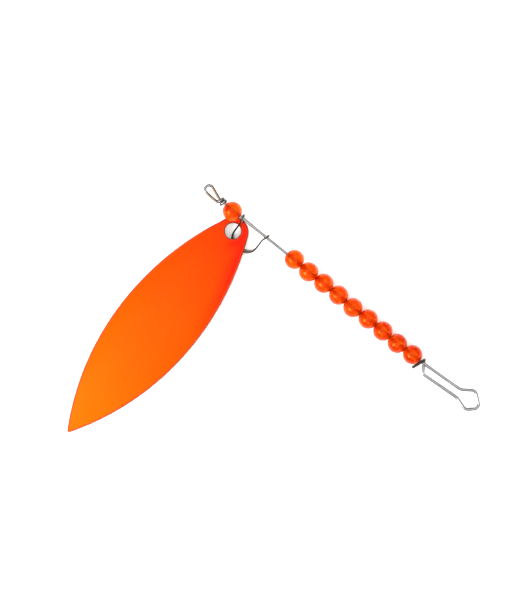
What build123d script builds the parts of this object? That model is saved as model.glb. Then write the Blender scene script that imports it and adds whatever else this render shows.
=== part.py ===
from build123d import *
import math
import os

# Inline spinner, a fishing lure, in millimetres. The shaft lies along +X from the line eye to the
# snap, +Z is up and the willow-leaf blade lies out along -Y. The origin is on the shaft's axis, in the
# opening of the line eye.

# ---- driving dimensions: wire -------------------------------------------------------------------
WIRE_D = 0.79
WIRE_R = WIRE_D / 2

# ---- line eye and its wrap ----------------------------------------------------------------------
EYE_CENTRE = (-0.1, 0.35)  # of the eye's round end, which sits a little to one side
EYE_BEND_R = 1.03  # centreline radius of the eye's round end
EYE_CORNER_R = 1.02  # the same bend as rounded corners of the route, with a hair of run between
EYE_CLOSE_X = 3.7  # where the eye's two legs meet the shaft
EYE_CLOSE_R = 2.5
RETURN_LEG = (2.6, -0.95, 0.25)  # where the returning leg starts to climb over the shaft
RETURN_LEG_R = 0.8
WRAP_R = 0.80  # centreline radius of the wrap, just clear of the shaft
WRAP_PITCH = 0.83
WRAP_SIDES = 6  # the wrap's centreline is this many tangent arcs a turn
WRAP_CORNERS = 10
WRAP_START_X = 3.9
WRAP_START_ANGLE = 120  # degrees from +Y towards +Z
WRAP_ARC_R = 0.74

# ---- beads --------------------------------------------------------------------------------------
BEAD_R = 2.5
BEAD_BORE_R = 0.7
BEAD_LENGTH = 4.8
BEARING_BEAD_AT = (7.95, -0.27)  # loosely bored, so it hangs to one side of the wire
STACK_COUNT = 9
STACK_START_X = 27.9
STACK_PITCH = 4.82
STACK_WANDER = 0.12  # how far a loosely bored bead sits off the wire
WANDER_STEP = 2.2  # radians from one bead to the next, so neighbours lean differently

# ---- clevis, a folded metal strip ----------------------------------------------------------------
EAR_X = (11.1, 18.85)  # of the two holes' centres, on the shaft
EAR_R = 1.05
EAR_HOLE_R = 0.6
EAR_BEND = ((11.4, -1.2), (18.5, -1.2))  # in the bow's plane, where the ears bend outwards
EAR_BEND_R = 0.8
STRIP_WIDTH = 1.45
STRIP_T = 0.45
BOW_CORNERS = ((11.6, -7.55), (18.55, -7.55))
BOW_BEND_R = 3.0
CLEVIS_TILT = 34  # degrees that the clevis drops below the horizontal

# ---- blade ---------------------------------------------------------------------------------------
BLADE_T = 0.55
BLADE_HALF_WIDTH = 10.57
BLADE_NOSE_Y = -0.3  # row frame, at the rounded hole end
BLADE_WIDEST_Y = -34.0
BLADE_POINT_Y = -71.05  # where the two side arcs would meet
BLADE_TIP_R = 0.5
BLADE_NOSE_R = 4.0
BLADE_HOLE_R = 2.05
BLADE_HOLE_Y = -4.05
BLADE_HOLE_OFFSET = -0.25  # the punched hole sits a little off the blade's middle line
BLADE_CENTRE_X = 11.05  # middle line at the widest point
BLADE_CREST_Z = -1.07
BLADE_PITCH = 0.99  # degrees, hole end up
BLADE_ROLL = 0.6  # degrees, snap side down
BLADE_YAW = -0.75  # degrees, tip towards the line eye
DISH_ACROSS_R = 24.5
DISH_ALONG_R = 275.0
DISH_REACH = 5.0  # how far below the crest the outline is cut
DISH_SPARE = 2.0  # the dish is turned this much longer than the blade

# ---- snap ----------------------------------------------------------------------------------------
SHANK_START_X = 5.3  # the straight shaft begins here, just past the wrap
SHANK_BEND_X = 67.4
SHANK_BEND_R = 40.0
SHANK_END_X = 71.5  # and ends here, on the snap's fixed leg
BULB_SHOULDER = (81.5, 0.88)  # where the fixed leg swings out to the bulb
BULB_TOP = (84.7, 3.1)
BULB_END_Y = 0.75
BULB_RADII = [2.4, 1.3, 0.95]
SNAP_GAP = 0.12  # between the two halves of the snap's bulb, at the flexing point
SNAP_FLEX = (87.65, 0.15)
ARM_DROP = -0.95  # the arm runs this far below the fixed leg
HOOK_RISE = 0.95  # the hook comes back over the shaft at this height
ARM_CORNERS = [
    (SNAP_FLEX[0], -0.5, 0),
    (85.7, -2.35, ARM_DROP * 0.4),
    (82.2, -1.3, ARM_DROP),
    (71.65, -2.05, ARM_DROP),
]
HOOK_TOP = (69.65, 1.0)
HOOK_TAIL = (68.3, -2.55, 2.5)  # turned up, to pass the last bead when the arm is squeezed
ARM_RADII = [0.9, 1.5, 2.2, 1.0, 0.9, 0.85]


def wire_route(points, radii):
    """The wire's centreline: straight runs joined by tangent arcs."""
    with BuildLine() as route:
        FilletPolyline(*points, radius=radii)
    return route.line


def wire_section(centreline):
    """The wire's round section, square to the start of its centreline."""
    with BuildSketch(Plane(origin=centreline @ 0, z_dir=centreline % 0)) as section:
        Circle(WIRE_R)
    return section.sketch


def bead_solid(centre_x, side):
    """A round bead on the shaft, cut flat at both mouths of its bore."""
    with BuildPart() as bead:
        with BuildSketch():
            with Locations((centre_x, side)):
                Circle(BEAD_R)
                Rectangle(BEAD_LENGTH, 2 * BEAD_R, mode=Mode.INTERSECT)
                Rectangle(BEAD_LENGTH, 2 * BEAD_BORE_R, mode=Mode.SUBTRACT)
            with Locations((centre_x, side - BEAD_R)):
                Rectangle(BEAD_LENGTH, 2 * BEAD_R, mode=Mode.SUBTRACT)
        revolve(axis=Axis((centre_x, side, 0), (1, 0, 0)))
    return bead


# ---- eye wire: the line eye and the wrap that closes it round the shaft ---------------------------
eye_end_x = EYE_CENTRE[0] - EYE_BEND_R


def eye_corner(leg_end, side):
    """The corner where a leg of the eye, drawn on from leg_end, meets the eye's end line."""
    run = leg_end[0] - EYE_CENTRE[0]
    rise = EYE_CENTRE[1] - leg_end[1]
    spread = math.asin(EYE_BEND_R / math.hypot(run, rise))
    slope = math.tan(math.atan2(rise, run) + side * spread)
    return (eye_end_x, leg_end[1] + slope * (leg_end[0] - eye_end_x), 0)


wrap_corner_r = WRAP_R / math.cos(math.pi / WRAP_SIDES)
wrap_route = []
for corner in range(WRAP_CORNERS):
    turned = math.radians(WRAP_START_ANGLE - corner * 360 / WRAP_SIDES)
    along = WRAP_START_X + corner * WRAP_PITCH / WRAP_SIDES
    wrap_route.append(
        (along, wrap_corner_r * math.cos(turned), wrap_corner_r * math.sin(turned))
    )
wrap_route.reverse()
eye_route = wrap_route + [
    RETURN_LEG,
    eye_corner(RETURN_LEG, -1),
    eye_corner((EYE_CLOSE_X, 0), 1),
    (EYE_CLOSE_X, 0, 0),
    (SHANK_START_X, 0, 0),
]
wrap_radii = [WRAP_ARC_R] * (WRAP_CORNERS - 1)
eye_radii = [RETURN_LEG_R, EYE_CORNER_R, EYE_CORNER_R, EYE_CLOSE_R]
eye_line = wire_route(eye_route, wrap_radii + eye_radii)

with BuildPart() as eye_wire:
    sweep(wire_section(eye_line), path=eye_line)
eye_wire.part.label = "eye_wire"

# ---- shaft wire: the same wire straight on, to where the snap begins ------------------------------
leg_slope = BULB_SHOULDER[1] / (BULB_SHOULDER[0] - SHANK_BEND_X)
leg_start = (SHANK_END_X, leg_slope * (SHANK_END_X - SHANK_BEND_X), 0)
shaft_route = [(SHANK_START_X, 0, 0), (SHANK_BEND_X, 0, 0), leg_start]
shaft_line = wire_route(shaft_route, SHANK_BEND_R)

with BuildPart() as shaft_wire:
    sweep(wire_section(shaft_line), path=shaft_line)
shaft_wire.part.label = "shaft_wire"

# ---- snap leg: the snap's fixed leg and half of its bulb, still the same wire ---------------------
leg_route = [
    leg_start,
    (*BULB_SHOULDER, 0),
    (*BULB_TOP, 0),
    (SNAP_FLEX[0], BULB_END_Y, 0),
    (SNAP_FLEX[0], SNAP_FLEX[1] + SNAP_GAP / 2, 0),
]
leg_line = wire_route(leg_route, BULB_RADII)

with BuildPart() as snap_leg:
    sweep(wire_section(leg_line), path=leg_line)
snap_leg.part.label = "snap_leg"

# ---- snap arm: the rest of the bulb, the arm and the hook over the shaft --------------------------
arm_start = (SNAP_FLEX[0], SNAP_FLEX[1] - SNAP_GAP / 2, 0)
hook = [(*HOOK_TOP, ARM_DROP), (*HOOK_TOP, HOOK_RISE), HOOK_TAIL]
arm_line = wire_route([arm_start] + ARM_CORNERS + hook, ARM_RADII)

with BuildPart() as snap_arm:
    sweep(wire_section(arm_line), path=arm_line)
snap_arm.part.label = "snap_arm"

# ---- clevis: a flat strip bent to a bow, with a round holed ear leaning out at each end -----------
tilt = math.radians(CLEVIS_TILT)
bow_plane = Plane(
    origin=(0, 0, 0), x_dir=(1, 0, 0), z_dir=(0, -math.sin(tilt), math.cos(tilt))
)
bow_route = [(EAR_X[0], 0), EAR_BEND[0], *BOW_CORNERS, EAR_BEND[1], (EAR_X[1], 0)]
bow_radii = [EAR_BEND_R, BOW_BEND_R, BOW_BEND_R, EAR_BEND_R]


def ear_disc(ear_x, bend, radius, thickness):
    """A disc square to the ear, round its hole's centre."""
    lean = Vector(ear_x - bend[0], -bend[1], 0)
    across = Vector(lean.Y, -lean.X, 0)
    centre = bow_plane.from_local_coords(Vector(ear_x, 0, 0))
    facing = bow_plane.from_local_coords(Vector(ear_x, 0, 0) + across) - centre
    with BuildPart() as disc:
        with BuildSketch(Plane(origin=centre, z_dir=facing)):
            Circle(radius)
        extrude(amount=thickness / 2, both=True)
    return disc.part


with BuildPart() as clevis:
    with BuildSketch(bow_plane):
        with BuildLine() as bow:
            FilletPolyline(*bow_route, radius=bow_radii)
        trace(bow.line, line_width=STRIP_T)
    extrude(amount=STRIP_WIDTH / 2, both=True)
    for ear_x, bend in zip(EAR_X, EAR_BEND):
        add(ear_disc(ear_x, bend, EAR_R, STRIP_T))
    for ear_x, bend in zip(EAR_X, EAR_BEND):
        add(ear_disc(ear_x, bend, EAR_HOLE_R, 3 * STRIP_T), mode=Mode.SUBTRACT)
clevis.part.label = "clevis"

# ---- blade: a dished willow leaf, painted side up -------------------------------------------------
nose_reach = BLADE_NOSE_Y - BLADE_WIDEST_Y
point_reach = BLADE_WIDEST_Y - BLADE_POINT_Y
nose_centre = nose_reach - BLADE_NOSE_R
hole_place = BLADE_HOLE_Y - BLADE_WIDEST_Y

# The side arc towards the tip passes through the widest point and the point, which is then rounded off.
# The one towards the hole end passes through the widest point and is tangent to the nose arc.
nose_arc_r = (nose_centre**2 + BLADE_HALF_WIDTH**2 - BLADE_NOSE_R**2) / (
    2 * (BLADE_HALF_WIDTH - BLADE_NOSE_R)
)
touch_angle = math.atan2(nose_centre, nose_arc_r - BLADE_HALF_WIDTH)
touch = (
    BLADE_NOSE_R * math.cos(touch_angle),
    nose_centre + BLADE_NOSE_R * math.sin(touch_angle),
)

blade_pose = Plane(
    Location(
        (BLADE_CENTRE_X, BLADE_WIDEST_Y, BLADE_CREST_Z),
        (BLADE_PITCH, BLADE_ROLL, BLADE_YAW),
    )
)
blade_side = Plane(origin=blade_pose.origin, x_dir=blade_pose.y_dir, z_dir=blade_pose.x_dir)
dish_axis = Axis(blade_pose.from_local_coords((0, 0, -DISH_ACROSS_R)), blade_pose.y_dir)


def bow_drop(reach):
    """How far the dish falls below its crest at this distance along the blade."""
    return DISH_ALONG_R - math.sqrt(DISH_ALONG_R**2 - reach**2)


with BuildPart() as blade:
    strip_reach = point_reach + DISH_SPARE
    with BuildSketch(blade_side):
        with BuildLine():
            top = ThreePointArc(
                (-strip_reach, -bow_drop(strip_reach)),
                (0, 0),
                (strip_reach, -bow_drop(strip_reach)),
            )
            under = ThreePointArc(
                (-strip_reach, -bow_drop(strip_reach) - BLADE_T),
                (0, -BLADE_T),
                (strip_reach, -bow_drop(strip_reach) - BLADE_T),
            )
            Line(top @ 0, under @ 0)
            Line(top @ 1, under @ 1)
        make_face()
    revolve(axis=dish_axis)
    with BuildSketch(blade_pose) as leaf:
        with BuildLine():
            nose = ThreePointArc((-touch[0], touch[1]), (0, nose_reach), touch)
            right_nose = TangentArc(nose @ 1, (BLADE_HALF_WIDTH, 0), tangent=nose % 1)
            left_nose = TangentArc(nose @ 0, (-BLADE_HALF_WIDTH, 0), tangent=-(nose % 0))
            TangentArc(right_nose @ 1, (0, -point_reach), tangent=(0, -1))
            TangentArc(left_nose @ 1, (0, -point_reach), tangent=(0, -1))
        make_face()
        fillet(leaf.vertices().sort_by(Axis.Y)[0], radius=BLADE_TIP_R)
        with Locations((BLADE_HOLE_OFFSET, hole_place)):
            Circle(BLADE_HOLE_R, mode=Mode.SUBTRACT)
    extrude(amount=DISH_REACH, both=True, mode=Mode.INTERSECT)
blade.part.label = "blade"

# ---- write the pieces ----------------------------------------------------------------------------
os.makedirs("parts", exist_ok=True)
for piece in (eye_wire, shaft_wire, snap_leg, snap_arm, clevis, blade):
    export_step(piece.part, f"parts/{piece.part.label}.step")

bearing_bead = bead_solid(*BEARING_BEAD_AT)
bearing_bead.part.label = "bearing_bead"
export_step(bearing_bead.part, "parts/bearing_bead.step")

for number in range(1, STACK_COUNT + 1):
    stack_bead = bead_solid(
        STACK_START_X + (number - 1) * STACK_PITCH,
        STACK_WANDER * math.sin(WANDER_STEP * number),
    )
    stack_bead.part.label = f"bead_{number}"
    export_step(stack_bead.part, f"parts/bead_{number}.step")
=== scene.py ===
import math

import bpy
from mathutils import Matrix, Quaternion, Vector
from mathutils.kdtree import KDTree


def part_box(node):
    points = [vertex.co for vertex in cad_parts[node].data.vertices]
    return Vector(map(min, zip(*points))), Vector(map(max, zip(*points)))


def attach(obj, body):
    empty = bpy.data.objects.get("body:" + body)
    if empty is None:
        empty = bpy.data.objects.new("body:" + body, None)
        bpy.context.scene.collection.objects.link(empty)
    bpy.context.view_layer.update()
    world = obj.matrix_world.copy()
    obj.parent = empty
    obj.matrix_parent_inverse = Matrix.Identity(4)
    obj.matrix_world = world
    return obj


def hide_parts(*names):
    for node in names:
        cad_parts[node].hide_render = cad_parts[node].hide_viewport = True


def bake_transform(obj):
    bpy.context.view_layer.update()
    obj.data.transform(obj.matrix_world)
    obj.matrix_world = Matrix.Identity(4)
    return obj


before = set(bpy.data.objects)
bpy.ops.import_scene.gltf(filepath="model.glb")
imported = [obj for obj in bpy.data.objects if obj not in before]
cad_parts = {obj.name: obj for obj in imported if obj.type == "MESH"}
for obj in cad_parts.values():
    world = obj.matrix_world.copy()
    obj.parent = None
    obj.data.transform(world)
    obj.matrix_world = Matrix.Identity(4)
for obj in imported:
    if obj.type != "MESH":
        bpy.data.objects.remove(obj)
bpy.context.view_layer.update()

# An inline spinner lying on a pale floor, seen from straight above. Sizes are in millimetres, in
# the row frame: +X runs along the shaft from the line eye to the snap, and +Z is up.
MM = 0.001

# ---- sizes of the wire ---------------------------------------------------------------------------
WIRE_R = 0.395
WIRE_SIDES = 28
WIRE_CREASE = 50  # degrees; sharper edges than this stay crisp
CUT_BEVEL = 0.10
CUT_SHOULDER = 0.3  # where the bevel's middle ring rounds it, as a share of the bevel
ARC_STEP = 0.09  # between rings on a bend
ARC_STEPS_LEAST = 4
RUN_STEP = 1.2  # between rings on a straight run
SAME_PLACE = 1e-4  # points closer together than this are one

EYE_CENTRE = Vector((-0.1, 0.35, 0))
EYE_BEND_R = 1.03
EYE_CORNER_R = 1.02
EYE_CLOSE_X = 3.7
EYE_CLOSE_R = 2.5
EYE_SHADE_FROM = (-0.9, 0.3)  # along X, the span over which painted shade comes onto the legs
EYE_SHADE_TO = (3.0, 4.6)  # and the span over which that ends
RETURN_START = Vector((1.5, -0.83, 0.0))  # where the returning leg starts to climb to the wrap
CLIMB_HANDLES = (1.1, 0.55)
CLIMB_STEPS = 24
WRAP_R = 0.80
WRAP_PITCH = 0.83
WRAP_START_X = 3.9
WRAP_START_ANGLE = 120  # degrees from +Y towards +Z
WRAP_TURNS = 1.47
WRAP_STEPS = 60

SHANK_BEND_X = 67.4
SHANK_BEND_R = 40.0
SNAP_FLEX = Vector((87.65, 0.15, 0.0))
LEG_CORNERS = [Vector((81.5, 0.88, 0)), Vector((84.7, 3.1, 0)), Vector((87.65, 0.75, 0))]
LEG_RADII = [2.4, 1.3, 0.95]
ARM_CORNERS = [
    Vector((87.65, -0.5, 0)),
    Vector((85.7, -2.35, -0.38)),
    Vector((82.2, -1.3, -0.95)),
    Vector((71.65, -2.05, -0.95)),
    Vector((69.65, 1.0, -0.95)),
    Vector((69.65, 1.0, 0.95)),
    Vector((68.3, -2.55, 2.5)),
]
ARM_RADII = [0.9, 1.5, 2.2, 1.0, 0.9, 0.85]
HOOK_SHADE_TO = (69.3, 70.6)  # along X, the span over which the hook's painted shade ends

# ---- sizes of the sheet metal --------------------------------------------------------------------
EDGE_ANGLES = (22, 45, 68, 90)  # degrees round the edge of a sheet, from its face to its side
RING_CROWDING = 0.45  # how much the rings round a hole crowd towards it

EAR_X = (11.1, 18.85)
EAR_R = 1.05
EAR_SPARE = EAR_R + 0.2  # how far the strip's middle line runs past the hole's centre
EAR_HOLE_R = 0.6
EAR_BEND = (Vector((11.4, -1.2, 0)), Vector((18.5, -1.2, 0)))
EAR_BEND_R = 0.8
EAR_ARC_STEPS = 40
STRIP_HALF = 0.725
STRIP_T = 0.45
STRIP_EDGE_R = 0.14
STRIP_CROWN = 0.05  # the rolled strip is a little thinner along its edges
NECK = (0.55, 1.6)  # the round ear narrows to the strip between these, from the hole's centre
NECK_STEPS = 24
BOW_CORNERS = (Vector((11.6, -7.55, 0)), Vector((18.55, -7.55, 0)))
BOW_BEND_R = 3.0
CLEVIS_TILT = math.radians(34)
CLEVIS_LINE_STEP = 0.2
LINE_END_SPARE = 1e-6  # keeps a place just short of the middle line's end
CLEVIS_ACROSS = 12
CLEVIS_RINGS = 5
CLEVIS_ROWS = 64

BLADE_T = 0.55
BLADE_HALF = 10.57
BLADE_EDGE_R = 0.16
NOSE_REACH = 33.7  # from the widest point to the hole end
NOSE_R = 4.0
NOSE_STEPS = 60
POINT_REACH = 37.05  # from the widest point to where the two side arcs would meet
TIP_R = 0.5
TIP_ROWS = 8
TIP_STOP = math.radians(68)  # the last row round the tip arc, which is closed straight across
HOLE_R = 2.05
HOLE_CENTRE = Vector((-0.25, 29.95))
DISH_ACROSS_R = 24.5
DISH_ALONG_R = 275.0
BLADE_AT = Vector((11.05, -34.0, -1.07))
BLADE_TURN = (0.99, 0.6, -0.75)  # degrees of pitch, roll and yaw
BLADE_ACROSS = 40
BLADE_RINGS = 14
BLADE_ROWS = 110
COLLAR_REACH = 5.2  # how far the rings round the hole go past its centre
BLADE_FIRST_Y = HOLE_CENTRE.y - COLLAR_REACH
ROW_CROWDING = 0.25  # how much the rows crowd towards the tip
SLOPE_STEP = 0.01  # to each side of a place, to measure the outline's slope there

# ---- sizes of the beads --------------------------------------------------------------------------
STACK_COUNT = 9
BEAD_R = 2.5
BEAD_HALF = 2.4
BEAD_SHOULDER = 0.02  # how far short of the lips the round outside stops
BEAD_BORE_R = 0.7
BEAD_LIP = (0.11, 0.066)  # depth and width of the groove outside the lip of the bore
BEAD_SIDES = 96
BEAD_OUTSIDE_STEPS = 48
BEAD_LIP_STEPS = 5
BEAD_BORE_STEPS = 12
BEAD_TURN = 1.7  # radians from one bead to the next


# ---- lines ---------------------------------------------------------------------------------------
def smooth(low, high, value):
    """0 below low, 1 above high, and a smooth step between them."""
    t = min(max((value - low) / (high - low), 0.0), 1.0)
    return t * t * (3 - 2 * t)


def travelled(points):
    """How far along their line each of the points is."""
    reach = [0.0]
    for a, b in zip(points, points[1:]):
        reach.append(reach[-1] + (b - a).length)
    return reach


def rounded_path(corners, radii):
    """Points along straight runs joined by tangent arcs."""
    path = [corners[0].copy()]
    for before, corner, after, radius in zip(corners, corners[1:], corners[2:], radii):
        back = (before - corner).normalized()
        ahead = (after - corner).normalized()
        turn = math.pi - back.angle(ahead)
        centre = corner + (back + ahead).normalized() * (radius / math.cos(turn / 2))
        spoke = corner + back * radius * math.tan(turn / 2) - centre
        last = corner + ahead * radius * math.tan(turn / 2) - centre
        axis = spoke.cross(last).normalized()
        steps = max(ARC_STEPS_LEAST, round(turn * radius / ARC_STEP))
        for step in range(steps + 1):
            path.append(centre + Quaternion(axis, turn * step / steps) @ spoke)
    path.append(corners[-1].copy())
    return path


def divided(path, longest):
    """The same path with its long runs cut up."""
    made = [path[0]]
    for point in path[1:]:
        run = (point - made[-1]).length
        if run < SAME_PLACE:
            continue
        pieces = max(1, math.ceil(run / longest))
        start = made[-1]
        for piece in range(1, pieces + 1):
            made.append(start.lerp(point, piece / pieces))
    return made


def spaced(points, count):
    """The same line as count equal steps."""
    reach = travelled(points)
    made, at = [], 0
    for k in range(count + 1):
        want = reach[-1] * k / count
        while at < len(points) - 2 and reach[at + 1] < want:
            at += 1
        share = (want - reach[at]) / (reach[at + 1] - reach[at])
        made.append(points[at].lerp(points[at + 1], share))
    return made


def bezier(start, start_handle, end_handle, end, steps):
    """Points of a cubic curve, its ends left out."""
    made = []
    for step in range(1, steps):
        t = step / steps
        made.append(
            start * (1 - t) ** 3
            + start_handle * 3 * t * (1 - t) ** 2
            + end_handle * 3 * t * t * (1 - t)
            + end * t**3
        )
    return made


def new_object(name, points, faces, attributes):
    """A smooth-shaded mesh in the row frame, from points in millimetres and their attributes."""
    mesh = bpy.data.meshes.new(name)
    mesh.from_pydata([p * MM for p in points], [], faces)
    mesh.update()
    for key, values in attributes.items():
        if isinstance(values[0], (int, float)):
            layer = mesh.attributes.new(key, "FLOAT", "POINT")
            layer.data.foreach_set("value", values)
        else:
            layer = mesh.attributes.new(key, "FLOAT_VECTOR", "POINT")
            layer.data.foreach_set("vector", [c for v in values for c in v])
    mesh.shade_smooth()
    made = bpy.data.objects.new(name, mesh)
    bpy.context.scene.collection.objects.link(made)
    return made


# ---- wire ----------------------------------------------------------------------------------------
def wire_rings(path):
    """A ring at each point of the path, without twist: its centre, the way ahead, its first spoke,
    its radius and how far along the wire it is."""
    rings = []
    heading = (path[1] - path[0]).normalized()
    side = heading.orthogonal().normalized()
    for number, (point, far) in enumerate(zip(path, travelled(path))):
        before = path[max(number - 1, 0)]
        after = path[min(number + 1, len(path) - 1)]
        ahead = (after - before).normalized()
        side = (heading.rotation_difference(ahead) @ side).normalized()
        heading = ahead
        rings.append((point, ahead, side, WIRE_R, far))
    return rings


def cut_rings(ring, inward):
    """The rings of a cut end's bevel, from its flat face inwards. inward is 1 at the wire's start
    and -1 at its end."""
    point, ahead, side, radius, far = ring
    step = ahead * inward * CUT_BEVEL
    return [
        (point, ahead, side, radius - CUT_BEVEL, far),
        (point + step * CUT_SHOULDER, ahead, side, radius - CUT_BEVEL * CUT_SHOULDER, far),
        (point + step, ahead, side, radius, far + inward * CUT_BEVEL),
    ]


def wire_tube(name, path, shade_at, cut_start=False, cut_end=False):
    """Round wire along a path. The given function says at each point how much painted shade the
    wire carries there. The grain attribute is the place on the wire drawn out straight."""
    rings = wire_rings(path)
    if cut_start:
        rings[:1] = cut_rings(rings[0], 1)
    if cut_end:
        rings[-1:] = reversed(cut_rings(rings[-1], -1))
    points, grain, painted_shade, faces = [], [], [], []
    for point, ahead, side, radius, far in rings:
        across = ahead.cross(side)
        painted_shade += [shade_at(point)] * WIRE_SIDES
        for k in range(WIRE_SIDES):
            angle = 2 * math.pi * k / WIRE_SIDES
            spoke = side * math.cos(angle) + across * math.sin(angle)
            points.append(point + spoke * radius)
            grain.append((math.cos(angle) * radius, math.sin(angle) * radius, far))
    for ring in range(len(rings) - 1):
        for k in range(WIRE_SIDES):
            a = ring * WIRE_SIDES + k
            b = ring * WIRE_SIDES + (k + 1) % WIRE_SIDES
            faces.append((a, b, b + WIRE_SIDES, a + WIRE_SIDES))
    last = (len(rings) - 1) * WIRE_SIDES
    faces.append(tuple(range(WIRE_SIDES - 1, -1, -1)))
    faces.append(tuple(range(last, last + WIRE_SIDES)))
    made = new_object(name, points, faces, {"grain": grain, "painted_shade": painted_shade})
    made.data.set_sharp_from_angle(angle=math.radians(WIRE_CREASE))
    return made


def eye_shade(point):
    """How much painted shade the eye's legs carry, from near the eye's end until it fades at the
    wrap.
    """
    return smooth(*EYE_SHADE_FROM, point.x) * (1 - smooth(*EYE_SHADE_TO, point.x))


def hook_shade(point):
    """How much painted shade the hook and its tail carry."""
    return 1 - smooth(*HOOK_SHADE_TO, point.x)


def wrap_point(turns):
    """A point on the wrap's centreline, so many turns from its start at the eye."""
    angle = math.radians(WRAP_START_ANGLE) - 2 * math.pi * turns
    along = WRAP_START_X + WRAP_PITCH * turns
    return Vector((along, WRAP_R * math.cos(angle), WRAP_R * math.sin(angle)))


def eye_corner(leg_end, side):
    """The corner where a leg of the eye, drawn on from leg_end, meets the eye's end line."""
    run = leg_end.x - EYE_CENTRE.x
    rise = EYE_CENTRE.y - leg_end.y
    spread = math.asin(EYE_BEND_R / math.hypot(run, rise))
    end_x = EYE_CENTRE.x - EYE_BEND_R
    slope = math.tan(math.atan2(rise, run) + side * spread)
    return Vector((end_x, leg_end.y + slope * (leg_end.x - end_x), 0))


def make_shaft_wire():
    """The wire from the cut end of its wrap, round the line eye and down the shank, to the far end
    of the snap's bulb."""
    coil = [wrap_point(WRAP_TURNS * k / WRAP_STEPS) for k in range(WRAP_STEPS + 1)]
    close = Vector((EYE_CLOSE_X, 0, 0))
    low_corner = eye_corner(RETURN_START, -1)
    leaving = (RETURN_START - low_corner).normalized()
    arriving = (coil[1] - coil[0]).normalized()
    climb = bezier(
        RETURN_START,
        RETURN_START + leaving * CLIMB_HANDLES[0],
        coil[0] - arriving * CLIMB_HANDLES[1],
        coil[0],
        CLIMB_STEPS,
    )
    corners = [
        RETURN_START,
        low_corner,
        eye_corner(close, 1),
        close,
        Vector((SHANK_BEND_X, 0, 0)),
        *LEG_CORNERS,
        SNAP_FLEX,
    ]
    radii = [EYE_CORNER_R, EYE_CORNER_R, EYE_CLOSE_R, SHANK_BEND_R, *LEG_RADII]
    path = coil[::-1] + climb[::-1] + rounded_path(corners, radii)
    made = wire_tube("main_wire", divided(path, RUN_STEP), eye_shade, cut_start=True)
    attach(made, "shaft")
    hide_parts("eye_wire", "shaft_wire", "snap_leg")
    return made


def make_snap_arm():
    """The wire from the far end of the bulb, along the arm and over the shaft to its tail."""
    path = rounded_path([SNAP_FLEX, *ARM_CORNERS], ARM_RADII)
    made = wire_tube("snap_arm_wire", divided(path, RUN_STEP / 2), hook_shade, cut_end=True)
    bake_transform(made)
    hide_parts("snap_arm")
    return made


# ---- sheet metal ---------------------------------------------------------------------------------
# A sheet is drawn flat, with X across it and Y along it, and then bent. Each end with a hole is a
# set of rings round the hole, and the last part of the outermost ring is a row of the sheet.
def row_points(reach, y, across):
    """Points across the sheet, reach to each side, in so many steps."""
    return [Vector((reach * (2 * k / across - 1), y)) for k in range(across + 1)]


def holed_end(side, arc, row, hole, hole_r, rings):
    """The points between a round hole and the outline of an end, ring by ring from the hole
    outwards, and how many are in a ring. side runs from the row's last point along the outline, arc
    goes on over the end, and the mirrored side comes back to the row's first point."""
    mirrored = [Vector((-p.x, p.y)) for p in reversed(side)]
    edge = spaced(side + arc + mirrored, 2 * (len(row) - 1))
    boundary = edge[:-1] + row[:-1]
    made = []
    for ring in range(rings + 1):
        t = ring / rings
        t = t * (1 - RING_CROWDING + RING_CROWDING * t)
        for point in boundary:
            spoke = (point - hole).normalized() * hole_r
            made.append((hole + spoke).lerp(point, t))
    return made, len(boundary)


def end_loop(outer, across):
    """The points of an end's outermost ring that are on the outline."""
    return [outer + k for k in range(2 * across + 1)]


def end_row(outer, across):
    """The points of an end's outermost ring that are its row, from left to right."""
    return [outer + (2 * across + k) % (3 * across) for k in range(across + 1)]


def ring_quads(first, size, rings, flip=False):
    """Quads between closed rings of points, whose numbers start at first."""
    made = []
    for start in range(first, first + rings * size, size):
        for k in range(size):
            a, b = start + k, start + (k + 1) % size
            quad = (a, a + size, b + size, b)
            made.append(quad[::-1] if flip else quad)
    return made


def row_quads(above, below, flip=False):
    """Quads between two rows of points."""
    made = []
    for k in range(len(above) - 1):
        quad = (above[k], below[k], below[k + 1], above[k + 1])
        made.append(quad[::-1] if flip else quad)
    return made


def add_rows(flat, faces, above, rows, flip=False):
    """Carries the sheet on from the row above, through rows of (y, reach). Gives the points of its
    left edge, those of its right edge, and the last row."""
    across = len(above) - 1
    left, right = [], []
    for y, reach in rows:
        here = list(range(len(flat), len(flat) + across + 1))
        flat += row_points(reach, y, across)
        faces += row_quads(above, here, flip)
        left.append(here[0])
        right.append(here[-1])
        above = here
    return left, right, above


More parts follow.
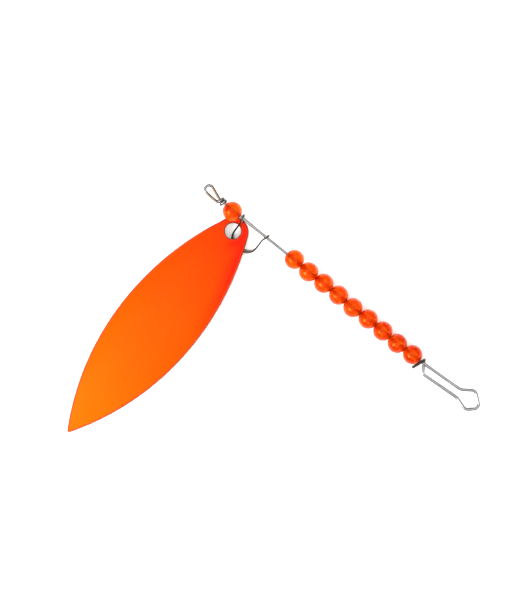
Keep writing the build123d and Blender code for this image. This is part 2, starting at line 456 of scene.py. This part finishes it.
def shell(name, flat, faces, loops, surface, thickness, edge_r):
    """A sheet with rounded edges along its loops. surface(point, depth) places a flat point at a
    depth below the top. Its attributes are that depth, the distance to the nearest rim, and the
    place on the flat sheet."""
    count = len(flat)
    points = [surface(p, 0.0) for p in flat] + [surface(p, thickness) for p in flat]
    depth = [0.0] * count + [thickness] * count
    border = [flat[i] for loop in loops for i in loop]
    nearest = KDTree(len(border))
    for number, place in enumerate(border):
        nearest.insert((place.x, place.y, 0.0), number)
    nearest.balance()
    rim = [edge_r + nearest.find((p.x, p.y, 0.0))[2] for p in flat] * 2
    spots = [(p.x, p.y, 0.0) for p in flat] + [(p.x, p.y, thickness) for p in flat]
    built = [tuple(f) for f in faces] + [tuple(i + count for i in reversed(f)) for f in faces]
    profile = []
    for angle in map(math.radians, EDGE_ANGLES):
        profile.append((edge_r * math.sin(angle), edge_r * (1 - math.cos(angle))))
    profile += [(out, thickness - down) for out, down in reversed(profile)]
    for loop in loops:
        size = len(loop)
        rings = [list(loop)]
        for out, down in profile:
            ring = []
            for k, i in enumerate(loop):
                along = flat[loop[(k + 1) % size]] - flat[loop[k - 1]]
                outward = Vector((along.y, -along.x)).normalized()
                place = flat[i] + outward * out
                ring.append(len(points))
                points.append(surface(place, down))
                depth.append(down)
                rim.append(edge_r - out)
                spots.append((place.x, place.y, down))
            rings.append(ring)
        rings.append([i + count for i in loop])
        for upper, lower in zip(rings, rings[1:]):
            for k in range(size):
                after = (k + 1) % size
                built.append((upper[k], lower[k], lower[after], upper[after]))
    return new_object(name, points, built, {"depth": depth, "rim": rim, "spot": spots})


# ---- blade ---------------------------------------------------------------------------------------
class BladeOutline:
    """The leaf's outline: on each side one arc to the nose and one to the tip, which meet where the
    leaf is widest, and a small arc round each end."""

    def __init__(self):
        half = BLADE_HALF
        self.nose_centre = NOSE_REACH - NOSE_R
        self.nose_side_r = (self.nose_centre**2 + half**2 - NOSE_R**2) / (2 * (half - NOSE_R))
        self.nose_turn = math.atan2(self.nose_centre, self.nose_side_r - half)
        self.tip_side_r = (POINT_REACH**2 + half**2) / (2 * half)
        self.tip_centre = -math.sqrt(
            (self.tip_side_r - TIP_R) ** 2 - (self.tip_side_r - half) ** 2
        )
        self.tip_turn = math.atan2(-self.tip_centre, self.tip_side_r - half)

    def half_width(self, y):
        if y > self.nose_centre + NOSE_R * math.sin(self.nose_turn):
            return math.sqrt(max(NOSE_R**2 - (y - self.nose_centre) ** 2, 0.0))
        if y < self.tip_centre - TIP_R * math.sin(self.tip_turn):
            return math.sqrt(max(TIP_R**2 - (y - self.tip_centre) ** 2, 0.0))
        radius = self.nose_side_r if y > 0 else self.tip_side_r
        return math.sqrt(max(radius**2 - y * y, 0.0)) - (radius - BLADE_HALF)

    def inner(self, y):
        """Half the width inside the rounded edge."""
        step = SLOPE_STEP
        slope = (self.half_width(y - step) - self.half_width(y + step)) / (2 * step)
        return self.half_width(y) - BLADE_EDGE_R * math.sqrt(1 + slope * slope)


def blade_nose(outline):
    """The points round the hole, and how many are in a ring."""
    radius = NOSE_R - BLADE_EDGE_R
    turn = outline.nose_turn
    touch_y = outline.nose_centre + radius * math.sin(turn)
    side, arc = [], []
    for k in range(NOSE_STEPS):
        y = BLADE_FIRST_Y + (touch_y - BLADE_FIRST_Y) * k / NOSE_STEPS
        side.append(Vector((outline.inner(y), y)))
    for k in range(NOSE_STEPS + 1):
        angle = turn + (math.pi - 2 * turn) * k / NOSE_STEPS
        y = outline.nose_centre + radius * math.sin(angle)
        arc.append(Vector((radius * math.cos(angle), y)))
    row = row_points(outline.inner(BLADE_FIRST_Y), BLADE_FIRST_Y, BLADE_ACROSS)
    return holed_end(side, arc, row, HOLE_CENTRE, HOLE_R + BLADE_EDGE_R, BLADE_RINGS)


def blade_rows(outline):
    """(y, reach) of each row from the nose to the tip."""
    radius = TIP_R - BLADE_EDGE_R
    turn = outline.tip_turn
    length = outline.tip_centre - radius * math.sin(turn) - BLADE_FIRST_Y
    rows = []
    for number in range(1, BLADE_ROWS + 1):
        t = number / BLADE_ROWS
        y = BLADE_FIRST_Y + length * (t + ROW_CROWDING * t * (1 - t))
        rows.append((y, outline.inner(y)))
    for number in range(1, TIP_ROWS + 1):
        angle = turn + (TIP_STOP - turn) * number / TIP_ROWS
        rows.append((outline.tip_centre - radius * math.sin(angle), radius * math.cos(angle)))
    return rows


def blade_surface():
    """The dish, a patch of a large torus, turned and moved to where the blade lies."""
    pose = Matrix.Translation(BLADE_AT)
    for degrees, axis in zip(BLADE_TURN, "XYZ"):
        pose = pose @ Matrix.Rotation(math.radians(degrees), 4, axis)

    def place(point, depth):
        drop = DISH_ALONG_R - math.sqrt(DISH_ALONG_R**2 - point.y**2)
        radius = DISH_ACROSS_R - drop
        z = math.sqrt(radius**2 - point.x**2)
        normal = Vector((point.x / z, (radius / z) * point.y / DISH_ALONG_R, 1)).normalized()
        return pose @ (Vector((point.x, point.y, z - DISH_ACROSS_R)) - normal * depth)

    return place


def make_blade():
    """A dished willow leaf with a hole in its nose."""
    outline = BladeOutline()
    flat, size = blade_nose(outline)
    outer = BLADE_RINGS * size
    faces = ring_quads(0, size, BLADE_RINGS)
    first_row = end_row(outer, BLADE_ACROSS)
    left, right, last_row = add_rows(flat, faces, first_row, blade_rows(outline))
    outer_loop = end_loop(outer, BLADE_ACROSS) + left + last_row[1:-1] + right[::-1]
    hole_loop = list(range(size))[::-1]
    loops = [outer_loop, hole_loop]
    made = shell("willow_blade", flat, faces, loops, blade_surface(), BLADE_T, BLADE_EDGE_R)
    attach(made, "blade")
    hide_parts("blade")
    return made


# ---- clevis --------------------------------------------------------------------------------------
def clevis_line():
    """The strip's middle line in the plane of its bow, from ear to ear and a little past both."""
    ends = []
    for ear_x, bend in zip(EAR_X, EAR_BEND):
        hole = Vector((ear_x, 0, 0))
        ends.append(hole + (hole - bend).normalized() * EAR_SPARE)
    corners = [ends[0], EAR_BEND[0], *BOW_CORNERS, EAR_BEND[1], ends[1]]
    radii = [EAR_BEND_R, BOW_BEND_R, BOW_BEND_R, EAR_BEND_R]
    return divided(rounded_path(corners, radii), CLEVIS_LINE_STEP)


def clevis_half_width(s):
    """Half the strip's width, so far from the centre of an ear's hole."""
    ear = math.sqrt(max(EAR_R**2 - s * s, 0.0))
    blend = smooth(*NECK, abs(s))
    return max(ear, STRIP_HALF) * (1 - blend) + STRIP_HALF * blend


def clevis_ear():
    """The points round an ear's hole, with the hole's centre at 0 and the strip along +Y, and how
    many are in a ring."""
    side, arc = [], []
    for k in range(NECK_STEPS + 1):
        y = NECK[1] + (NECK[0] - NECK[1]) * k / NECK_STEPS
        side.append(Vector((clevis_half_width(y) - STRIP_EDGE_R, y)))
    radius = EAR_R - STRIP_EDGE_R
    turn = math.atan2(-side[-1].y, side[-1].x)
    for k in range(1, EAR_ARC_STEPS):
        angle = turn + (math.pi - 2 * turn) * k / EAR_ARC_STEPS
        arc.append(Vector((radius * math.cos(angle), -radius * math.sin(angle))))
    row = row_points(STRIP_HALF - STRIP_EDGE_R, NECK[1], CLEVIS_ACROSS)
    return holed_end(side, arc, row, Vector((0, 0)), EAR_HOLE_R + STRIP_EDGE_R, CLEVIS_RINGS)


def clevis_surface(line):
    """The strip bent along its middle line. Y on it starts at the first hole's centre."""
    reach = travelled(line)
    tilt = Matrix.Rotation(CLEVIS_TILT, 3, "X")

    def along(y):
        """The middle line's place and heading."""
        want = min(max(y + EAR_SPARE, 0.0), reach[-1] - LINE_END_SPARE)
        at = next(k for k in range(len(reach) - 1) if reach[k + 1] > want)
        share = (want - reach[at]) / (reach[at + 1] - reach[at])
        run = line[at + 1] - line[at]
        before = line[at] - line[at - 1] if at else run
        after = line[at + 2] - line[at + 1] if at + 2 < len(line) else run
        start = (before.normalized() + run.normalized()).normalized()
        end = (run.normalized() + after.normalized()).normalized()
        return line[at].lerp(line[at + 1], share), start.lerp(end, share).normalized()

    def place(point, depth):
        middle, heading = along(point.y)
        outward = Vector((heading.y, -heading.x, 0))
        crown = STRIP_CROWN * min(abs(point.x) / STRIP_HALF, 1.0) ** 2
        lift = (STRIP_T / 2 - depth) * (1 - crown / STRIP_T)
        return tilt @ (middle + outward * lift + Vector((0, 0, point.x)))

    return place


def make_clevis():
    """A strip bent to a bow, with a round holed ear at each end."""
    line = clevis_line()
    length = travelled(line)[-1] - 2 * EAR_SPARE
    near_ear, size = clevis_ear()
    far = len(near_ear)
    flat = near_ear + [Vector((p.x, length - p.y)) for p in near_ear]
    faces = ring_quads(0, size, CLEVIS_RINGS, flip=True) + ring_quads(far, size, CLEVIS_RINGS)
    near_outer = CLEVIS_RINGS * size
    far_outer = far + near_outer
    rows = []
    for number in range(1, CLEVIS_ROWS):
        y = NECK[1] + (length - 2 * NECK[1]) * number / CLEVIS_ROWS
        rows.append((y, STRIP_HALF - STRIP_EDGE_R))
    near_row = end_row(near_outer, CLEVIS_ACROSS)
    left, right, last_row = add_rows(flat, faces, near_row, rows, flip=True)
    faces += row_quads(last_row, end_row(far_outer, CLEVIS_ACROSS), flip=True)
    outer_loop = (
        end_loop(near_outer, CLEVIS_ACROSS)[::-1]
        + right
        + end_loop(far_outer, CLEVIS_ACROSS)
        + left[::-1]
    )
    near_hole = list(range(size))
    far_hole = [far + k for k in range(size)][::-1]
    loops = [outer_loop, near_hole, far_hole]
    surface = clevis_surface(line)
    made = shell("clevis_strip", flat, faces, loops, surface, STRIP_T, STRIP_EDGE_R)
    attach(made, "clevis")
    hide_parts("clevis")
    return made


# ---- beads ---------------------------------------------------------------------------------------
def bead_profile():
    """The section of a bead, as (x, radius): over the outside from one end to the other, down into
    the groove round the bore and up to its lip, and back through the bore to the far lip."""
    shoulder = math.acos((BEAD_HALF - BEAD_SHOULDER) / BEAD_R)
    outside = []
    for k in range(BEAD_OUTSIDE_STEPS + 1):
        angle = math.pi - shoulder - (math.pi - 2 * shoulder) * k / BEAD_OUTSIDE_STEPS
        outside.append((BEAD_R * math.cos(angle), BEAD_R * math.sin(angle)))
    depth, width = BEAD_LIP
    lip = []
    for k in range(BEAD_LIP_STEPS + 1):
        down = 1 - math.sin(math.pi / 2 * k / BEAD_LIP_STEPS)
        lip.append((BEAD_HALF - depth * down, BEAD_BORE_R + width * down))
    bore = []
    for k in range(1, BEAD_BORE_STEPS):
        bore.append(((BEAD_HALF - depth) * (1 - 2 * k / BEAD_BORE_STEPS), BEAD_BORE_R))
    far_lip = [(-x, r) for x, r in reversed(lip)]
    return outside + lip + bore + far_lip


def make_bead(name, turn):
    """A round bead, turned about its bore."""
    low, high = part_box(name)
    centre = (low + high) / 2 / MM
    profile = bead_profile()
    count = len(profile)
    points, spots, faces = [], [], []
    for k in range(BEAD_SIDES):
        angle = 2 * math.pi * k / BEAD_SIDES
        for x, r in profile:
            across = (r * math.cos(angle + turn), r * math.sin(angle + turn))
            points.append(centre + Vector((x, *across)))
            spots.append((x, r * math.cos(angle), r * math.sin(angle)))
        start, after = k * count, (k + 1) % BEAD_SIDES * count
        for p in range(count):
            q = (p + 1) % count
            faces.append((start + p, after + p, after + q, start + q))
    made = new_object(name + "_plastic", points, faces, {"spot": spots})
    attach(made, name)
    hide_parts(name)
    return made


# ---- materials -----------------------------------------------------------------------------------
class Nodes:
    """A short way to write a material's node tree."""

    def __init__(self, name):
        self.material = bpy.data.materials.new(name)
        self.material.use_nodes = True
        self.tree = self.material.node_tree
        self.shader = self.tree.nodes["Principled BSDF"]

    def add(self, kind, inputs, **settings):
        node = self.tree.nodes.new(kind)
        for key, value in settings.items():
            setattr(node, key, value)
        for key, value in inputs.items():
            self.put(node.inputs[key], value)
        return node

    def put(self, socket, value):
        if isinstance(value, bpy.types.NodeSocket):
            self.tree.links.new(value, socket)
        else:
            socket.default_value = value

    def set(self, **values):
        for key, value in values.items():
            self.put(self.shader.inputs[key.replace("_", " ")], value)

    def vector(self, name):
        return self.add("ShaderNodeAttribute", {}, attribute_name=name).outputs["Vector"]

    def value(self, name):
        return self.add("ShaderNodeAttribute", {}, attribute_name=name).outputs["Fac"]

    def noise(self, place, stretch, detail=3.0, roughness=0.5):
        """Noise over a place in millimetres, with so many lumps to the millimetre each way."""
        scaled = self.add("ShaderNodeMapping", {"Vector": place, "Scale": stretch})
        settings = {"Scale": 1.0, "Detail": detail, "Roughness": roughness}
        settings["Vector"] = scaled.outputs[0]
        return self.add("ShaderNodeTexNoise", settings).outputs["Fac"]

    def ramp(self, value, stops):
        node = self.add("ShaderNodeValToRGB", {"Fac": value})
        elements = node.color_ramp.elements
        while len(elements) < len(stops):
            elements.new(0.5)
        for element, (place, colour) in zip(elements, stops):
            element.position = place
            element.color = (*colour, 1.0)
        return node.outputs["Color"]

    def number(self, value, low, high, out_low, out_high):
        """value, with low to high stretched to out_low to out_high."""
        settings = {
            "Value": value,
            "From Min": low,
            "From Max": high,
            "To Min": out_low,
            "To Max": out_high,
        }
        return self.add("ShaderNodeMapRange", settings).outputs["Result"]

    def maths(self, operation, a, b):
        return self.add("ShaderNodeMath", {0: a, 1: b}, operation=operation).outputs[0]

    def mix(self, share, a, b):
        node = self.add("ShaderNodeMix", {}, data_type="RGBA")
        self.put(node.inputs["Factor"], share)
        self.put(node.inputs["A"], a)
        self.put(node.inputs["B"], b)
        return node.outputs["Result"]

    def bump(self, height, distance, strength, normal=None):
        settings = {"Height": height, "Distance": distance * MM, "Strength": strength}
        if normal is not None:
            settings["Normal"] = normal
        return self.add("ShaderNodeBump", settings).outputs["Normal"]


METAL_IOR = 2.5

WIRE_DULL = [(0.30, (0.13, 0.13, 0.132)), (0.62, (0.22, 0.22, 0.22))]
WIRE_LINES = [(0.25, (0.07, 0.07, 0.07)), (0.75, (0.28, 0.28, 0.278))]
WIRE_LINES_SHARE = 0.45
# painted shade, dark and brownish, laid over the eye's legs and the hook
WIRE_SHADE_BROWN = (0.075, 0.045, 0.022, 1.0)
WIRE_SHADE_BROWN_SHARE = 0.85


def wire_material():
    """Bright drawn spring wire: fine lines along its length, soft tarnish and small handling marks,
    and a dark brownish painted shade over the eye's legs and the hook."""
    n = Nodes("spring_wire")
    grain = n.vector("grain")
    lines = n.noise(grain, (9.0, 9.0, 0.18), 4.0, 0.65)
    tarnish = n.noise(grain, (1.2, 1.2, 0.35))
    marks = n.noise(grain, (3.0, 3.0, 2.4), 2.0)
    bright = n.mix(WIRE_LINES_SHARE, n.ramp(tarnish, WIRE_DULL), n.ramp(lines, WIRE_LINES))
    # painted shade: the eye's legs and the hook are darkened towards a dark brownish colour
    shade_share = n.maths("MULTIPLY", n.value("painted_shade"), WIRE_SHADE_BROWN_SHARE)
    n.set(Base_Color=n.mix(shade_share, bright, WIRE_SHADE_BROWN), Metallic=1.0, IOR=METAL_IOR)
    n.set(Roughness=n.number(marks, 0.3, 0.75, 0.10, 0.22))
    n.set(Normal=n.bump(lines, 0.02, 0.5, n.bump(marks, 0.02, 0.35)))
    return n.material


CLEVIS_PLATE = [(0.32, (0.12, 0.105, 0.09)), (0.65, (0.21, 0.19, 0.17))]
# painted dark reflection along the strip's edges
CLEVIS_EDGE_SHADE = (0.050, 0.040, 0.030, 1.0)


def clevis_material():
    """Dull nickel-plated strip: rolling lines along it, tarnished patches, and a painted dark
    reflection along its edges.
    """
    n = Nodes("plated_strip")
    spot = n.vector("spot")
    lines = n.noise(spot, (14.0, 0.7, 3.0), 4.0, 0.6)
    patches = n.noise(spot, (1.1, 0.8, 1.0))
    # painted dark reflection: the strip darkens towards every edge
    edge = n.number(n.value("rim"), 0.14, 0.36, 0.95, 0.0)
    plate = n.mix(edge, n.ramp(patches, CLEVIS_PLATE), CLEVIS_EDGE_SHADE)
    n.set(Base_Color=plate, Metallic=1.0, IOR=METAL_IOR)
    n.set(Roughness=n.number(patches, 0.3, 0.7, 0.13, 0.30))
    n.set(Normal=n.bump(lines, 0.02, 0.4))
    return n.material


PAINT = [  # from the tip to the hole; a fade that is partly the paint's own and partly painted light
    (0.0, (1.0, 0.087, 0.0)),
    (0.35, (1.0, 0.060, 0.0)),
    (0.70, (1.0, 0.037, 0.0)),
    (1.0, (0.98, 0.016, 0.0)),
]
PAINT_ENDS = (-34.0, 34.0)  # along the blade
PAINT_DRIFT = 0.16
PAINT_LEAN = 0.1  # how much of the fade runs across the blade
PAINT_SPECK = (1.0, 0.32, 0.03, 1.0)
# painted shade: the deeper red of the nose's flank on the snap's side
PAINT_SHADED_FLANK = (0.90, 0.006, 0.002, 1.0)
# dark rims: partly thinned paint and partly painted shade
PAINT_THIN_AND_SHADED = (0.16, 0.042, 0.012, 1.0)
PAINT_THIN_AND_SHADED_AT_HOLE = (0.08, 0.020, 0.008, 1.0)
BACK_PLATE = [(0.3, (0.52, 0.50, 0.46)), (0.7, (0.72, 0.70, 0.66))]
BACK_FROM = (0.44, 0.50)  # depth below the painted face at which the paint gives way to plate
BACK_WANDER = 0.12


def blade_material():
    """Fluorescent paint on the outside, from yellow-orange at the tip to red-orange at the hole: a
    fade that is partly the paint's own and partly painted light, yellower on the side away from the
    snap.
    Painted shade makes it a deeper red by the nose's edge on the snap's side, and every rim is
    dark, partly from thinned paint and partly from painted shade. The dished back is bare nickel
    plate."""
    n = Nodes("painted_blade")
    spot = n.vector("spot")
    rim = n.value("rim")
    parts = n.add("ShaderNodeSeparateXYZ", {"Vector": spot})
    x, y = parts.outputs["X"], parts.outputs["Y"]

    cloud = n.noise(spot, (0.10, 0.06, 1.0))
    drift = n.maths("MULTIPLY", n.maths("SUBTRACT", cloud, 0.5), PAINT_DRIFT)
    # the fade is partly the paint's own and partly painted light: yellower towards the tip and the
    # side away from the snap
    along = n.maths("ADD", y, n.maths("MULTIPLY", x, PAINT_LEAN))
    fade = n.maths("ADD", n.number(along, *PAINT_ENDS, 0.0, 1.0), drift)
    speck = n.noise(spot, (3.2, 3.2, 3.2), 2.0, 0.4)
    paint = n.mix(n.number(speck, 0.62, 0.75, 0.0, 0.10), n.ramp(fade, PAINT), PAINT_SPECK)

    # painted shade: a deeper red by the nose's edge on the snap's side
    snap_side = n.number(x, 0.0, 2.0, 0.0, 1.0)
    nose_end = n.number(y, 2.0, 22.0, 0.0, 1.0)
    near_rim = n.number(rim, 0.8, 3.8, 0.95, 0.0)
    flank_shade = n.maths("MULTIPLY", n.maths("MULTIPLY", snap_side, nose_end), near_rim)
    paint = n.mix(flank_shade, paint, PAINT_SHADED_FLANK)
    # the rims darken, partly thinned paint and partly painted shade, darker still round the hole
    thin_and_shaded = n.mix(n.number(y, 24.0, 27.5, 0.0, 1.0), PAINT_THIN_AND_SHADED, PAINT_THIN_AND_SHADED_AT_HOLE)
    paint = n.mix(n.number(rim, 0.2, 0.75, 0.85, 0.0), paint, thin_and_shaded)

    plate = n.ramp(n.noise(spot, (0.35, 0.12, 1.0), 4.0), BACK_PLATE)
    wander = n.maths("MULTIPLY", n.noise(spot, (0.9, 0.9, 0.0), 2.0), BACK_WANDER)
    back = n.number(n.maths("ADD", n.value("depth"), wander), *BACK_FROM, 0.0, 1.0)
    n.set(
        Base_Color=n.mix(back, paint, plate),
        Metallic=back,
        Roughness=0.25,
        Specular_IOR_Level=0.06,
        Specular_Tint=(1.0, 0.5, 0.25, 1.0),
    )
    peel = n.noise(spot, (1.6, 1.6, 1.6), 2.0, 0.35)
    rolled = n.noise(spot, (6.0, 0.5, 1.0), 4.0, 0.6)
    n.set(Normal=n.bump(rolled, 0.01, 0.25, n.bump(peel, 0.035, 0.35)))
    return n.material


BEAD_TINT = [(0.3, (0.80, 0.060, 0.0)), (0.7, (0.90, 0.112, 0.001))]


def bead_material():
    """Translucent fluorescent orange plastic with faint flow lines from the mould."""
    n = Nodes("bead_plastic")
    flow = n.noise(n.vector("spot"), (0.7, 0.35, 0.35))
    n.set(
        Base_Color=n.ramp(flow, BEAD_TINT),
        Roughness=n.number(flow, 0.3, 0.7, 0.12, 0.20),
        IOR=1.42,
        Transmission_Weight=0.8,
        Subsurface_Weight=1.0,
        Subsurface_Radius=(1.0, 0.25, 0.05),
        Subsurface_Scale=1.6 * MM,
        Specular_IOR_Level=0.1,
        Specular_Tint=(1.0, 0.48, 0.09, 1.0),
    )
    n.set(Normal=n.bump(flow, 0.05, 0.2))
    return n.material


# ---- the spinner ---------------------------------------------------------------------------------
spring_wire = wire_material()
for wire in (make_shaft_wire(), make_snap_arm()):
    wire.data.materials.append(spring_wire)

make_blade().data.materials.append(blade_material())
make_clevis().data.materials.append(clevis_material())

bead_plastic = bead_material()
bead_names = ["bearing_bead"] + [f"bead_{k}" for k in range(1, STACK_COUNT + 1)]
for order, bead_name in enumerate(bead_names):
    make_bead(bead_name, BEAD_TURN * order).data.materials.append(bead_plastic)


# ---- floor, light and camera ---------------------------------------------------------------------
FLOOR_HALF = 900.0
FLOOR_GAP = 0.02
KEY_AT = Vector((-170, -380, 380))
KEY_AIM = Vector((32, -22, 0))
KEY_ACROSS = 300
KEY_POWER = 4.0
SKY_LOW = (0.55, 0.30)  # height of the direction, strength
SKY_HIGH = (0.93, 3.3)
PHOTO_SPAN = 152.4  # across the picture's long side, in the plane of the shaft
CAMERA_AT = Vector((26.6, -14.2, 620.0))
CAMERA_ROLL = math.radians(38.9)
CAMERA_CLIP = (10.0, 10000.0)
SENSOR = 36.0


def floor_plane():
    """A point and the normal of the plane through the three places that the spinner rests on: the
    clevis bow, the last bead and the blade's tip. In metres."""
    clevis_low, clevis_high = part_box("clevis")
    bead_low, bead_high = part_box("bead_9")
    blade_low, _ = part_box("blade")
    bow = Vector(((clevis_low.x + clevis_high.x) / 2, clevis_low.y, clevis_low.z))
    bead = Vector(((bead_low.x + bead_high.x) / 2, (bead_low.y + bead_high.y) / 2, bead_low.z))
    tip = Vector((bow.x, blade_low.y, blade_low.z))
    normal = (bead - bow).cross(bow - tip).normalized()
    if normal.z < 0:
        normal.negate()
    return bow, normal


def make_floor():
    at, normal = floor_plane()
    half = FLOOR_HALF * MM
    mesh = bpy.data.meshes.new("floor")
    corners = [(-half, -half, 0), (half, -half, 0), (half, half, 0), (-half, half, 0)]
    mesh.from_pydata(corners, [], [(0, 1, 2, 3)])
    made = bpy.data.objects.new("floor", mesh)
    bpy.context.scene.collection.objects.link(made)
    made.matrix_world = Matrix.Translation(at - normal * FLOOR_GAP * MM) @ (
        Vector((0, 0, 1)).rotation_difference(normal).to_matrix().to_4x4()
    )
    n = Nodes("floor")
    n.set(Base_Color=(0.96, 0.96, 0.96, 1.0), Roughness=0.8, Specular_IOR_Level=0.2)
    mesh.materials.append(n.material)


def make_key_light():
    """One large soft disc, on the blade's side of the spinner."""
    data = bpy.data.lights.new("key", "AREA")
    data.shape = "DISK"
    data.size = KEY_ACROSS * MM
    data.energy = KEY_POWER
    made = bpy.data.objects.new("key", data)
    bpy.context.scene.collection.objects.link(made)
    made.location = KEY_AT * MM
    made.rotation_mode = "QUATERNION"
    made.rotation_quaternion = (KEY_AIM * MM - KEY_AT * MM).to_track_quat("-Z", "Y")


def make_sky():
    """A white softbox overhead that fades to a dim surround."""
    world = bpy.data.worlds.new("studio")
    bpy.context.scene.world = world
    world.use_nodes = True
    tree = world.node_tree
    direction = tree.nodes.new("ShaderNodeTexCoord")
    parts = tree.nodes.new("ShaderNodeSeparateXYZ")
    strength = tree.nodes.new("ShaderNodeMapRange")
    background = tree.nodes["Background"]
    tree.links.new(direction.outputs["Generated"], parts.inputs["Vector"])
    tree.links.new(parts.outputs["Z"], strength.inputs["Value"])
    tree.links.new(strength.outputs["Result"], background.inputs["Strength"])
    strength.inputs["From Min"].default_value, strength.inputs["To Min"].default_value = SKY_LOW
    strength.inputs["From Max"].default_value, strength.inputs["To Max"].default_value = SKY_HIGH
    background.inputs["Color"].default_value = (1, 1, 1, 1)


def make_camera():
    """Straight above, rolled so that the shaft slopes across the picture as in the photograph."""
    data = bpy.data.cameras.new("camera")
    data.sensor_width = SENSOR
    data.lens = SENSOR * CAMERA_AT.z / PHOTO_SPAN
    data.clip_start, data.clip_end = (reach * MM for reach in CAMERA_CLIP)
    made = bpy.data.objects.new("camera", data)
    bpy.context.scene.collection.objects.link(made)
    made.location = CAMERA_AT * MM
    made.rotation_euler = (0, 0, CAMERA_ROLL)
    bpy.context.scene.camera = made


make_floor()
make_sky()
make_key_light()
make_camera()
bpy.context.scene.view_settings.view_transform = "Standard"
